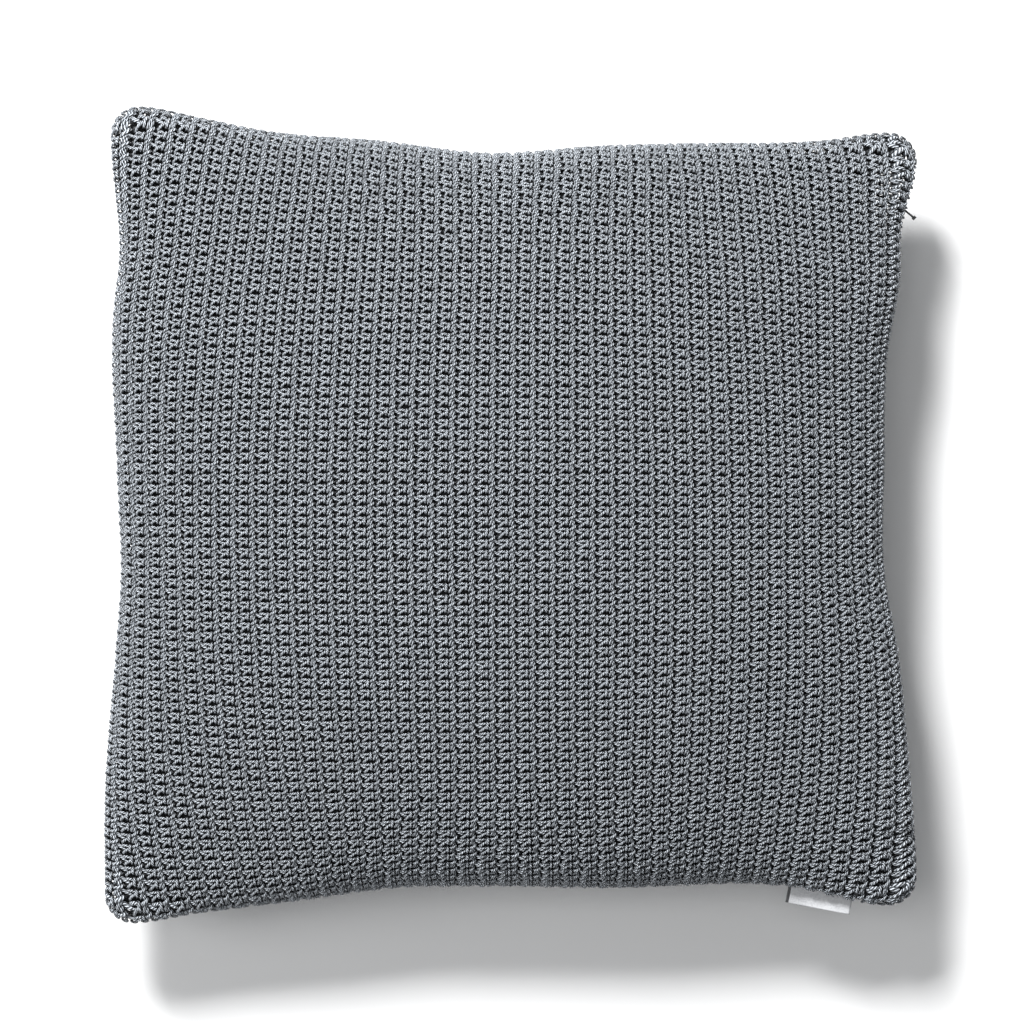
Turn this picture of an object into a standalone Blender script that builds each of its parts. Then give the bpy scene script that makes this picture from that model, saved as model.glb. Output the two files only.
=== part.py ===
"""A crocheted throw pillow with a concealed zip in its right side seam, lying on its back.

Blender, metres, +Z up. The front of the cushion faces +Z, its top edge is at +Y, and the zip
runs along the side at +X. The origin is under the middle of the cushion, on the surface it
rests on. Dimensions below are in millimetres.
"""

import math

import bmesh
import bpy
import numpy as np
from mathutils import Matrix, Vector

MM = 0.001
GAP = 0.3  # between touching pieces

# The cushion as a whole
SEAM_Z = 62.0  # the plane of the side seams
FRONT_CROWN = 66.0  # height of the front above the seam plane
BACK_CROWN = 70.0  # depth of the back below it, before the resting surface flattens it
EDGE_BULGE = 5.0  # the panels' outermost line lies this far from the seam plane
SEAM_GROOVE = 2.7  # how far the panels' edges are drawn in at the seam
SEAM_HALF_GAP = 0.15

# The outline: its corners, and the points that its pulled-in sides pass through
CORNER_RADIUS = 18.0
TOP_LEFT = (-247.0, 252.0)
TOP_RIGHT = (250.5, 236.0)
BOTTOM_LEFT = (-250.5, -252.0)
BOTTOM_RIGHT = (250.5, -241.0)
TOP_SIDE = [(-190, 245), (-150, 237), (-81, 231), (-15, 223.5), (59, 228), (116, 229.5), (190, 231)]
BOTTOM_SIDE = [(-193, -246), (-131, -238), (-64, -229.5), (-22, -229), (62, -230), (168, -229)]
LEFT_SIDE = [(-165, -250), (-89, -244), (-36, -240.5), (30, -243), (127, -245), (158, -241.5)]
RIGHT_SIDE = [(-150, 245.5), (-85, 239), (-35, 230.5), (30, 230.5), (103, 233), (143, 240), (178, 241.5)]

# Layers, each given as how far it lies inside the outline and under the crown
COVER_INSIDE = (5.0, 5.0)
CASE_OUTSIDE = (15.0, 6.0)
CASE_INSIDE = (15.8, 6.8)
FILL_OUTSIDE = (16.6, 7.6)
FILL_EDGE_RISE = 0.05
PAD_STOPS_AT = 229.5  # the pad keeps clear of the zip: its own outline goes no further than this
CARE_LABEL_FACE = (9.0, 5.4)
CARE_LABEL_THICKNESS = 0.4
CARE_LABEL_SEAM_INSET = 5.4
CARE_LABEL_FROM_U = 0.1  # the label lies between the grid lines just past these two
CARE_LABEL_TO_U = 0.4
CARE_LABEL_BELOW_V = -0.75

# Yarns and threads
JOINING_YARN_INSET = 1.2
JOINING_YARN_RADIUS = 1.1
CASE_SEAM_INSET = 14.1
CASE_SEAM_RADIUS = 0.5
THREAD_RADIUS = 0.2

# The zip: a straight line parallel to Y, in a slot between the two panels
SLOT_HALF_GAP = 4.2
SLOT_BULGE = 7.0
SLOT_TOP = 213.5
SLOT_BOTTOM = -190.0  # the slot runs on past the stop, so that the pull tab can hang down there
SLOT_CLOSES_IN = 3.5
TAPE_FACE_X = 219.0
TAPE_THICKNESS = 0.8
TAPE_INNER_Z = 1.1
TAPE_OUTER_Z = 9.0
TAPE_ENDS = (-188.5, 212.0)
STITCHING_Z = 6.5
STITCHING_ENDS = (-186.0, 209.0)
COIL_RADIUS = 1.05
COIL_BOTTOM = -149.7
COIL_PARTS_AT = 204.2  # above this the two coils run apart, round the slider's post
COIL_APART_AT = 206.0
COIL_TOP = 209.3
COIL_Z = 1.2
COIL_APART_Z = 2.0
STOP_LENGTH = 2.0
BOTTOM_STOP_LENGTH = 4.0

# The slider, about the pin of its pull tab
SLIDER_Y = 203.5
SLIDER_LENGTH = 11.0
SLIDER_HALF_WIDTH = 3.8
SLIDER_TAIL_HALF_WIDTH = 3.65
SLIDER_PLATE = 1.0
SLIDER_FLANGE = 0.45
POST_HALF_WIDTH = 0.65
POST_LENGTH = 2.2
BRIDGE_LENGTH = 7.2
BRIDGE_HEIGHT = 2.9
BRIDGE_STRIP = 0.7
BRIDGE_HALF_WIDTH = 1.0
BRIDGE_OUTER_CHAMFER = 1.0
BRIDGE_INNER_CHAMFER = 0.5

# The pull tab
PIN_HEIGHT = 1.0  # above the slider's outer plate
PIN_RADIUS = 0.5
PIN_INTO_ARM = 0.2
PULL_LENGTH = 33.0
PULL_ANGLE = math.radians(-40.0)  # from +X, hanging down and out of the seam
PULL_ARM_INSIDE = 1.3
PULL_HALF_WIDTH = 1.9
PULL_ARM_LENGTH = 5.8
PULL_YOKE_LENGTH = 1.1
PULL_THICKNESS = 1.0
PULL_NECK_HALF_WIDTH = 1.3
PULL_NECK_THICKNESS = 0.9
PULL_END_LENGTH = 1.7
PULL_END_THICKNESS = 2.1

# The woven label, a folded loop in the bottom seam
LABEL_ROOT = (191.0, -231.0)  # where its middle crosses the outline
LABEL_TILT = math.radians(-10.8)
LABEL_WIDTH = 40.0
LABEL_SHOWS = 11.5
LABEL_INSIDE = 5.0
LABEL_LEG = 0.45
LABEL_HALF_HEIGHT = 0.7
LABEL_HALF_GAP = 1.9
LABEL_SLOT = (168.5, 214.0)
LABEL_SLOT_CLOSES_IN = 2.5
LABEL_STITCHING_FROM_END = 1.0
LABEL_STITCHING_FROM_SIDE = 1.5

# How finely the panels are divided
STEPS_PER_SIDE = 14


def smooth_side(points, s):
    """Height at s of a smooth curve through (along, across) points, level at both ends."""
    along, across = np.array(points, dtype=float).T
    slope = np.gradient(across, along)
    slope[0] = 0.0
    slope[-1] = 0.0
    i = np.clip(np.searchsorted(along, s) - 1, 0, len(along) - 2)
    step = along[i + 1] - along[i]
    t = (s - along[i]) / step
    return (
        (2 * t**3 - 3 * t**2 + 1) * across[i]
        + (t**3 - 2 * t**2 + t) * step * slope[i]
        + (3 * t**2 - 2 * t**3) * across[i + 1]
        + (t**3 - t**2) * step * slope[i + 1]
    )


def side_between(points, low_corner, high_corner):
    """One side of the outline, as a function of -1 to 1 from the middle of one corner's arc to the
    middle of the other's. Corners and points are (along, across)."""
    outward = math.copysign(1.0, low_corner[1])
    start = low_corner[0] + CORNER_RADIUS
    end = high_corner[0] - CORNER_RADIUS
    through = [(start, low_corner[1]), *points, (end, high_corner[1])]
    reach = CORNER_RADIUS * math.sin(math.radians(45))

    def position(fraction):
        s = start - reach + (fraction + 1) / 2 * (end - start + 2 * reach)
        past = np.maximum(np.maximum(start - s, s - end), 0.0)
        rounding = CORNER_RADIUS - np.sqrt(CORNER_RADIUS**2 - past**2)
        return s, smooth_side(through, np.clip(s, start, end)) - outward * rounding

    def fraction_at(s):
        return 2 * (s - start + reach) / (end - start + 2 * reach) - 1

    return position, fraction_at


def swapped(point):
    return (point[1], point[0])


top_side, _ = side_between(TOP_SIDE, TOP_LEFT, TOP_RIGHT)
bottom_side, bottom_fraction = side_between(BOTTOM_SIDE, BOTTOM_LEFT, BOTTOM_RIGHT)
left_side, _ = side_between(LEFT_SIDE, swapped(BOTTOM_LEFT), swapped(TOP_LEFT))
right_side, right_fraction = side_between(RIGHT_SIDE, swapped(BOTTOM_RIGHT), swapped(TOP_RIGHT))


def flat_position(u, v):
    """Where the point (u, v) of the panel, each from -1 to 1, lies in plan: a Coons patch."""
    x_bottom, y_bottom = bottom_side(u)
    x_top, y_top = top_side(u)
    y_left, x_left = left_side(v)
    y_right, x_right = right_side(v)
    s = (u + 1) / 2
    t = (v + 1) / 2
    corners = {}
    for i in (0, 1):
        for j in (0, 1):
            xs, ys = (bottom_side, top_side)[j](np.array(2.0 * i - 1))
            corners[i, j] = (xs, ys)
    patch = []
    for k, (low, high, left, right) in enumerate(
        [(x_bottom, x_top, x_left, x_right), (y_bottom, y_top, y_left, y_right)]
    ):
        bilinear = (
            (1 - s) * (1 - t) * corners[0, 0][k]
            + s * (1 - t) * corners[1, 0][k]
            + (1 - s) * t * corners[0, 1][k]
            + s * t * corners[1, 1][k]
        )
        patch.append((1 - t) * low + t * high + (1 - s) * left + s * right - bilinear)
    return patch


def sample_lines():
    """The u and v values of the panels' grid: closer together near the edges, with lines of their
    own where the zip's slot and the label's slot begin and end."""
    even = np.arange(-STEPS_PER_SIDE // 2, STEPS_PER_SIDE // 2 + 1)
    base = np.sin(math.pi * even / STEPS_PER_SIDE)
    slot = [SLOT_BOTTOM - SLOT_CLOSES_IN, SLOT_BOTTOM, SLOT_TOP, SLOT_TOP + SLOT_CLOSES_IN]
    left, right = LABEL_SLOT
    label = [left - LABEL_SLOT_CLOSES_IN, left, right, right + LABEL_SLOT_CLOSES_IN]
    us = np.sort(np.concatenate([base, [bottom_fraction(x) for x in label]]))
    vs = np.sort(np.concatenate([base, [right_fraction(y) for y in slot]]))
    return us, vs


US, VS = sample_lines()
U, V = np.meshgrid(US, VS, indexing="ij")


def within(values, low, high):
    tiny = 1e-6
    return (values > low - tiny) & (values < high + tiny)


IN_ZIP_SLOT = (U == 1.0) & within(V, right_fraction(SLOT_BOTTOM), right_fraction(SLOT_TOP))
IN_LABEL_SLOT = (V == -1.0) & within(U, *[bottom_fraction(x) for x in LABEL_SLOT])


def inset_plan(inside):
    """The grid in plan, drawn in from the outline, and from the zip too where it is the pad's."""
    x, y = flat_position(U, V)
    drawn_in = np.zeros(U.shape)
    if inside >= CASE_SEAM_INSET:
        drawn_in = np.maximum(right_side(V)[1] - PAD_STOPS_AT, 0.0) * (U > 0)
    return np.stack([x - (inside + drawn_in) * U, y - inside * V], axis=-1)


def layer(face, inset, rise=SEAM_HALF_GAP):
    """The grid of one layer of the cushion: face is 1 in front and -1 behind, inset is its
    distance inside the outline and under the crown, and rise is its edge's height."""
    inside, under = inset
    crown = (FRONT_CROWN if face > 0 else BACK_CROWN) - under
    fullness = np.sqrt(np.maximum((1 - U**2) * (1 - V**2), 0.0))
    z = SEAM_Z + face * (rise + (crown - rise) * fullness)
    plan = inset_plan(inside)
    return np.concatenate([plan, np.maximum(z, under)[..., None]], axis=-1)


def edge_rise():
    """How far a panel's edge lies from the seam plane, at each grid point."""
    rise = np.full(U.shape, SEAM_HALF_GAP)
    rise[IN_LABEL_SLOT] = LABEL_HALF_GAP
    rise[IN_ZIP_SLOT] = SLOT_HALF_GAP
    return rise


def rim(grid):
    """The points of a grid's edge, once round."""
    return np.concatenate([grid[:-1, 0], grid[-1, :-1], grid[:0:-1, -1], grid[0, :0:-1]])


def new_material(name, colour, roughness=0.9, metallic=0.0):
    material = bpy.data.materials.new(name)
    material.use_nodes = True
    shader = material.node_tree.nodes["Principled BSDF"]
    shader.inputs["Base Color"].default_value = (*colour, 1.0)
    shader.inputs["Roughness"].default_value = roughness
    shader.inputs["Metallic"].default_value = metallic
    return material


def new_collection(name):
    collection = bpy.data.collections.new(name)
    bpy.context.scene.collection.children.link(collection)
    return collection


def add_object(name, data, material, collection, at=(0.0, 0.0, 0.0)):
    item = bpy.data.objects.new(name, data)
    item.location = Vector(at) * MM
    data.materials.append(material)
    collection.objects.link(item)
    return item


def turn_outwards(mesh):
    """Makes all faces of a closed mesh point out of it."""
    bmesh.ops.recalc_face_normals(mesh, faces=mesh.faces)
    if mesh.calc_volume(signed=True) < 0:
        bmesh.ops.reverse_faces(mesh, faces=mesh.faces)


def loft(name, rings, material, collection):
    """A closed solid between two grids: rings is the outer grid, any rings between the edges, and
    the inner grid, in that order."""
    outer, *between, inner = rings
    mesh = bmesh.new()
    grids = []
    for grid in (outer, inner):
        grids.append([[mesh.verts.new(p * MM) for p in row] for row in grid])
    for rows in grids:
        for i in range(len(rows) - 1):
            for j in range(len(rows[0]) - 1):
                corners = (rows[i][j], rows[i + 1][j], rows[i + 1][j + 1], rows[i][j + 1])
                mesh.faces.new(corners)
    loops = [list(rim(np.array(grids[0], dtype=object)))]
    for ring in between:
        loops.append([mesh.verts.new(p * MM) for p in ring])
    loops.append(list(rim(np.array(grids[1], dtype=object))))
    for upper, lower in zip(loops, loops[1:]):
        for k in range(len(upper)):
            n = (k + 1) % len(upper)
            mesh.faces.new((upper[k], upper[n], lower[n], lower[k]))
    turn_outwards(mesh)
    data = bpy.data.meshes.new(name)
    mesh.to_mesh(data)
    mesh.free()
    data.shade_smooth()
    data.set_sharp_from_angle(angle=math.radians(50))
    return add_object(name, data, material, collection)


def tube(name, points, radius, material, collection, cyclic=False):
    curve = bpy.data.curves.new(name, "CURVE")
    curve.dimensions = "3D"
    curve.bevel_depth = radius * MM
    curve.bevel_resolution = 2
    curve.use_fill_caps = not cyclic
    spline = curve.splines.new("POLY")
    spline.points.add(len(points) - 1)
    for spot, point in zip(spline.points, points):
        spot.co = (*(Vector(point) * MM), 1.0)
    spline.use_cyclic_u = cyclic
    return add_object(name, curve, material, collection)


def add_box(mesh, low, high):
    size = Vector(high) - Vector(low)
    middle = (Vector(high) + Vector(low)) / 2
    place = Matrix.Translation(middle * MM) @ Matrix.Diagonal((*(size * MM), 1.0))
    bmesh.ops.create_cube(mesh, size=1.0, matrix=place)


def add_prism(mesh, outline, low, high):
    """A prism between two heights over an outline in the X-Y plane."""
    loops = []
    for z in (low, high):
        loops.append([mesh.verts.new(Vector((x, y, z)) * MM) for x, y in outline])
    for k in range(len(outline)):
        n = (k + 1) % len(outline)
        mesh.faces.new((loops[0][k], loops[0][n], loops[1][n], loops[1][k]))
    mesh.faces.new(loops[0][::-1])
    mesh.faces.new(loops[1])


def mesh_object(name, build, material, collection, at=(0.0, 0.0, 0.0)):
    """An object whose mesh is filled by build, a function of a bmesh."""
    mesh = bmesh.new()
    build(mesh)
    turn_outwards(mesh)
    data = bpy.data.meshes.new(name)
    mesh.to_mesh(data)
    mesh.free()
    return add_object(name, data, material, collection, at)


def join_solids(base, tools, tool_collection):
    """Unions each tool with the base, and keeps the tools as hidden guides."""
    for tool in tools:
        tool.hide_render = True
        tool.display_type = "WIRE"
        for collection in list(tool.users_collection):
            collection.objects.unlink(tool)
        tool_collection.objects.link(tool)
        union = base.modifiers.new(f"with_{tool.name}", "BOOLEAN")
        union.operation = "UNION"
        union.solver = "EXACT"
        union.object = tool
    return base


def bevel(item, width):
    edge = item.modifiers.new("edges", "BEVEL")
    edge.width = width * MM
    edge.segments = 1
    edge.limit_method = "ANGLE"
    edge.angle_limit = math.radians(40)


def cover_panel(name, face, material, collection):
    """One crocheted panel: its outer face, the edge drawn in at the seam, and its inner face. Along
    the zip its edge is turned in as far as the tape."""
    rise = edge_rise()
    bulge = np.full(U.shape, EDGE_BULGE)
    bulge[IN_ZIP_SLOT] = SLOT_BULGE
    outer = layer(face, (0.0, 0.0), rise=bulge)
    groove = layer(face, (SEAM_GROOVE, 0.0), rise=rise)
    inner = layer(face, COVER_INSIDE, rise=rise)
    inner[IN_ZIP_SLOT, 0] = TAPE_FACE_X + GAP
    return loft(name, [outer, rim(groove), inner], material, collection)


def joining_path(start_rim, end_rim):
    """The joining yarn's path along the rim, anticlockwise between two (u, v) points of it."""
    points = [tuple(p) for p in rim(inset_plan(JOINING_YARN_INSET))]
    places = [tuple(p) for p in rim(np.stack([U, V], axis=-1))]
    first = closest(places, start_rim)
    last = closest(places, end_rim)
    if last < first:
        last += len(points)
    return [(*points[k % len(points)], SEAM_Z) for k in range(first, last + 1)]


def closest(places, wanted):
    return min(range(len(places)), key=lambda k: math.dist(places[k], wanted))


def joining_yarns(material, collection):
    above_zip = (1.0, right_fraction(SLOT_TOP + SLOT_CLOSES_IN))
    below_zip = (1.0, right_fraction(SLOT_BOTTOM - SLOT_CLOSES_IN))
    left_of_label = (bottom_fraction(LABEL_SLOT[0] - LABEL_SLOT_CLOSES_IN), -1.0)
    right_of_label = (bottom_fraction(LABEL_SLOT[1] + LABEL_SLOT_CLOSES_IN), -1.0)
    for name, start, end in [
        ("joining_yarn_long", above_zip, left_of_label),
        ("joining_yarn_short", right_of_label, below_zip),
    ]:
        tube(name, joining_path(start, end), JOINING_YARN_RADIUS, material, collection)


def inner_case(material, seam_material, collection):
    """The pad's plain woven case: two panels and the overlocked seam round them."""
    for name, face in [("inner_case_front", 1), ("inner_case_back", -1)]:
        loft(name, [layer(face, CASE_OUTSIDE), layer(face, CASE_INSIDE)], material, collection)
    path = [(*p, SEAM_Z) for p in rim(inset_plan(CASE_SEAM_INSET))]
    tube("inner_case_seam", path, CASE_SEAM_RADIUS, seam_material, collection, cyclic=True)


def fibre_fill(material, collection):
    front = layer(1, FILL_OUTSIDE, rise=FILL_EDGE_RISE)
    back = layer(-1, FILL_OUTSIDE, rise=FILL_EDGE_RISE)
    loft("fibre_fill", [front, back], material, collection)


def care_label(material, collection):
    """A blank label sewn into the bottom seam inside, lying between the back panel and the case."""
    columns = within(US, US[US > CARE_LABEL_FROM_U][0], US[US > CARE_LABEL_TO_U][0])
    rows = VS < CARE_LABEL_BELOW_V
    faces = []
    for depth in (0.0, CARE_LABEL_THICKNESS):
        inset = (CARE_LABEL_FACE[0] + depth, CARE_LABEL_FACE[1] + depth)
        grid = layer(-1, inset)
        at_seam = layer(-1, (CARE_LABEL_SEAM_INSET, 0.0), rise=2 * GAP + CARE_LABEL_THICKNESS - depth)
        grid[:, 0] = at_seam[:, 0]
        faces.append(grid[np.ix_(columns, rows)])
    loft("care_label", faces, material, collection)


def zip_tapes_and_coils(tape_material, coil_material, thread_material, collection):
    low_y, high_y = TAPE_ENDS
    tape_back_x = TAPE_FACE_X - TAPE_THICKNESS
    coil_x = TAPE_FACE_X + GAP + COIL_RADIUS
    for side, face in [("front", 1), ("back", -1)]:

        def z(height):
            return SEAM_Z + face * height

        def tape(mesh):
            low = (tape_back_x, low_y, min(z(TAPE_INNER_Z), z(TAPE_OUTER_Z)))
            high = (TAPE_FACE_X, high_y, max(z(TAPE_INNER_Z), z(TAPE_OUTER_Z)))
            add_box(mesh, low, high)

        mesh_object(f"zip_tape_{side}", tape, tape_material, collection)
        coil = [
            (coil_x, COIL_BOTTOM, z(COIL_Z)),
            (coil_x, COIL_PARTS_AT, z(COIL_Z)),
            (coil_x, COIL_APART_AT, z(COIL_APART_Z)),
            (coil_x, COIL_TOP, z(COIL_APART_Z)),
        ]
        tube(f"zip_coil_{side}", coil, COIL_RADIUS, coil_material, collection)
        thread_x = tape_back_x - GAP - THREAD_RADIUS
        thread = [(thread_x, y, z(STITCHING_Z)) for y in STITCHING_ENDS]
        tube(f"zip_stitching_{side}", thread, THREAD_RADIUS, thread_material, collection)


def zip_stops(material, collection):
    low_x = TAPE_FACE_X + GAP
    high_x = low_x + 2 * COIL_RADIUS
    low_y = COIL_TOP + GAP
    inner = COIL_APART_Z - COIL_RADIUS
    outer = COIL_APART_Z + COIL_RADIUS
    for side, face in [("front", 1), ("back", -1)]:

        def stop(mesh):
            heights = sorted([SEAM_Z + face * inner, SEAM_Z + face * outer])
            add_box(mesh, (low_x, low_y, heights[0]), (high_x, low_y + STOP_LENGTH, heights[1]))

        bevel(mesh_object(f"zip_top_stop_{side}", stop, material, collection), 0.2)

    def bottom_stop(mesh):
        high_y = COIL_BOTTOM - GAP
        half = COIL_Z + COIL_RADIUS
        low = (low_x, high_y - BOTTOM_STOP_LENGTH, SEAM_Z - half)
        add_box(mesh, low, (high_x + GAP, high_y, SEAM_Z + half))

    bevel(mesh_object("zip_bottom_stop", bottom_stop, material, collection), 0.3)


def slider_levels():
    """X of the slider's four plate faces, from the inside of the cushion outwards."""
    inner_plate_top = TAPE_FACE_X - TAPE_THICKNESS - GAP
    outer_plate_bottom = TAPE_FACE_X + 2 * GAP + 2 * COIL_RADIUS
    return (
        inner_plate_top - SLIDER_PLATE,
        inner_plate_top,
        outer_plate_bottom,
        outer_plate_bottom + SLIDER_PLATE,
    )


def pin_position():
    return (slider_levels()[3] + PIN_HEIGHT, SLIDER_Y, SEAM_Z)


def zip_slider(material, collection, guides):
    """The slider's two plates with their side flanges, the post that parts the coils and joins the
    plates, and the bridge that holds the pull tab. Its origin is on the pin's axis."""
    origin = pin_position()
    levels = [x - origin[0] for x in slider_levels()]
    half = SLIDER_LENGTH / 2
    wide = SLIDER_HALF_WIDTH
    tail = SLIDER_TAIL_HALF_WIDTH

    def plate(low, high):
        def build(mesh):
            add_prism(mesh, [(-half, -tail), (half, -wide), (half, wide), (-half, tail)], low, high)
            turn = Matrix(((0, 0, 1, 0), (1, 0, 0, 0), (0, 1, 0, 0), (0, 0, 0, 1)))
            bmesh.ops.transform(mesh, matrix=turn, verts=mesh.verts)

        return build

    def flange(face, low, high):
        def build(mesh):
            zs = sorted([face * (tail - SLIDER_FLANGE), face * tail])
            add_box(mesh, (low, -half, zs[0]), (high, half, zs[1]))

        return build

    def post(mesh):
        high_y = half - GAP
        low = (levels[0], high_y - POST_LENGTH, -POST_HALF_WIDTH)
        add_box(mesh, low, (levels[3], high_y, POST_HALF_WIDTH))

    def bridge(mesh):
        reach = BRIDGE_LENGTH / 2
        top = levels[3] + BRIDGE_HEIGHT
        foot = levels[3] - SLIDER_PLATE / 2
        chamfer = BRIDGE_OUTER_CHAMFER
        outside = [(foot, -reach), (top - chamfer, -reach), (top, -reach + chamfer)]
        strip = BRIDGE_STRIP
        corner = strip + BRIDGE_INNER_CHAMFER
        inside = [
            (foot, -reach + strip),
            (top - corner, -reach + strip),
            (top - strip, -reach + corner),
        ]
        mirrored_outside = [(x, -y) for x, y in reversed(outside)]
        mirrored_inside = [(x, -y) for x, y in reversed(inside)]
        outline = outside + mirrored_outside + mirrored_inside[::-1] + inside[::-1]
        add_prism(mesh, outline, -BRIDGE_HALF_WIDTH, BRIDGE_HALF_WIDTH)

    slider = mesh_object("zip_slider", plate(levels[2], levels[3]), material, collection, origin)
    coil_bottom = TAPE_FACE_X + GAP - origin[0]
    pieces = {
        "inner_plate": plate(levels[0], levels[1]),
        "front_flange": flange(1, coil_bottom, levels[3] - GAP),
        "back_flange": flange(-1, coil_bottom, levels[3] - GAP),
        "post": post,
        "bridge": bridge,
    }
    tools = [mesh_object(f"slider_{k}", v, material, guides, origin) for k, v in pieces.items()]
    join_solids(slider, tools, guides)
    bevel(slider, 0.12)


def zip_pull_tab(material, collection, guides):
    """The pull tab: a pin under the slider's bridge, two arms beside it, a thin neck and a cross
    end. It is built along +X from the pin and turned to hang out of the seam."""
    origin = pin_position()
    half_thickness = PULL_THICKNESS / 2

    def arms(face):
        def build(mesh):
            zs = sorted([face * PULL_ARM_INSIDE, face * PULL_HALF_WIDTH])
            add_box(mesh, (-half_thickness, -half_thickness, zs[0]),
                    (PULL_ARM_LENGTH, half_thickness, zs[1]))

        return build

    def yoke(mesh):
        start = PULL_ARM_LENGTH - PULL_YOKE_LENGTH
        add_box(mesh, (start, -half_thickness, -PULL_HALF_WIDTH),
                (PULL_ARM_LENGTH, half_thickness, PULL_HALF_WIDTH))

    def neck(mesh):
        end = PULL_LENGTH - PULL_END_LENGTH / 2
        start = PULL_ARM_LENGTH - half_thickness
        thin = PULL_NECK_THICKNESS / 2
        add_box(mesh, (start, -thin, -PULL_NECK_HALF_WIDTH), (end, thin, PULL_NECK_HALF_WIDTH))

    def cross_end(mesh):
        half = PULL_END_THICKNESS / 2
        start = PULL_LENGTH - PULL_END_LENGTH
        add_box(mesh, (start, -half, -PULL_HALF_WIDTH), (PULL_LENGTH, half, PULL_HALF_WIDTH))

    def pin(mesh):
        length = 2 * (PULL_ARM_INSIDE + PIN_INTO_ARM)
        bmesh.ops.create_cone(
            mesh, cap_ends=True, segments=16, radius1=PIN_RADIUS * MM, radius2=PIN_RADIUS * MM,
            depth=length * MM,
        )

    pull = mesh_object("zip_pull_tab", arms(1), material, collection, origin)
    pieces = {
        "back_arm": arms(-1),
        "pin": pin,
        "yoke": yoke,
        "neck": neck,
        "cross_end": cross_end,
    }
    tools = [mesh_object(f"pull_{k}", v, material, guides, origin) for k, v in pieces.items()]
    join_solids(pull, tools, guides)
    bevel(pull, 0.15)
    for item in (pull, *tools):
        item.rotation_euler = (0.0, 0.0, PULL_ANGLE)


def woven_label(material, thread_material, collection):
    """The folded label: two legs through the seam and the fold outside it, and its thread."""
    at = (*LABEL_ROOT, SEAM_Z)
    half = LABEL_WIDTH / 2

    def folded(mesh):
        outer = LABEL_HALF_HEIGHT
        inner = LABEL_HALF_HEIGHT - LABEL_LEG
        bend_at = -LABEL_SHOWS + outer
        arc = [math.radians(a) for a in (90, 130, 180, 230, 270)]
        outside = [(bend_at + outer * math.cos(a), outer * math.sin(a)) for a in arc]
        inside = [(bend_at + inner * math.cos(a), inner * math.sin(a)) for a in reversed(arc)]
        outline = [
            (LABEL_INSIDE, outer),
            *outside,
            (LABEL_INSIDE, -outer),
            (LABEL_INSIDE, -inner),
            *inside,
            (LABEL_INSIDE, inner),
        ]
        add_prism(mesh, outline, -half, half)
        turn = Matrix(((0, 0, 1, 0), (1, 0, 0, 0), (0, 1, 0, 0), (0, 0, 0, 1)))
        bmesh.ops.transform(mesh, matrix=turn, verts=mesh.verts)

    label = mesh_object("woven_label", folded, material, collection, at)
    label.rotation_euler = (0.0, 0.0, LABEL_TILT)
    along = LABEL_INSIDE - LABEL_STITCHING_FROM_END
    height = LABEL_HALF_HEIGHT + GAP + THREAD_RADIUS
    stitched_half = half - LABEL_STITCHING_FROM_SIDE
    ends = [(x, along, height) for x in (-stitched_half, stitched_half)]
    thread = tube("label_stitching", ends, THREAD_RADIUS, thread_material, collection)
    thread.location = Vector(at) * MM
    thread.rotation_euler = (0.0, 0.0, LABEL_TILT)


def main():
    for item in list(bpy.data.objects):
        bpy.data.objects.remove(item, do_unlink=True)
    parts = new_collection("throw_pillow")
    guides = new_collection("guides")
    cord = new_material("grey_cord", (0.20, 0.21, 0.22), 0.55)
    edge_cord = new_material("edge_cord", (0.15, 0.16, 0.17), 0.6)
    satin = new_material("label_satin", (0.60, 0.61, 0.63), 0.45)
    thread = new_material("sewing_thread", (0.16, 0.17, 0.18), 0.6)
    tape = new_material("zip_tape", (0.07, 0.075, 0.08), 0.8)
    coil = new_material("zip_nylon", (0.06, 0.065, 0.07), 0.4)
    enamel = new_material("zip_enamel", (0.05, 0.053, 0.057), 0.35, 0.6)
    case = new_material("case_cloth", (0.10, 0.105, 0.11), 0.85)
    fibre = new_material("polyester_fibre", (0.85, 0.85, 0.84), 0.95)

    cover_panel("cover_front_panel", 1, cord, parts)
    cover_panel("cover_back_panel", -1, cord, parts)
    joining_yarns(edge_cord, parts)
    inner_case(case, thread, parts)
    fibre_fill(fibre, parts)
    care_label(satin, parts)
    woven_label(satin, thread, parts)
    zip_tapes_and_coils(tape, coil, thread, parts)
    zip_stops(enamel, parts)
    zip_slider(enamel, parts, guides)
    zip_pull_tab(enamel, parts, guides)


main()
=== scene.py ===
"""A throw pillow crocheted in grey cord, lying on its back on a pale floor, seen from straight above.

The CAD model is the frame. The cover is built here stitch by stitch: two rows of single crochet,
worked one down and one up, are settled so that the cord hardly passes through itself, and that cell
is repeated over the pillow's curved faces, along rows and stitches that are spread over them.
Lengths are in millimetres until a mesh is made.
"""

import math

import bpy
import numpy as np
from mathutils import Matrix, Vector


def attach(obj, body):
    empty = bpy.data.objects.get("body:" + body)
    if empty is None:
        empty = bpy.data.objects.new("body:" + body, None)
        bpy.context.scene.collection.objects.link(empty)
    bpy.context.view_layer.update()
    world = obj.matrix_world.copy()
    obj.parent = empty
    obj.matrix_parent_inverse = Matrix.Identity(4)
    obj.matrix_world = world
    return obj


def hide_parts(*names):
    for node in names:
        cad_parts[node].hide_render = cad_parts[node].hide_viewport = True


MM = 0.001

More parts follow.
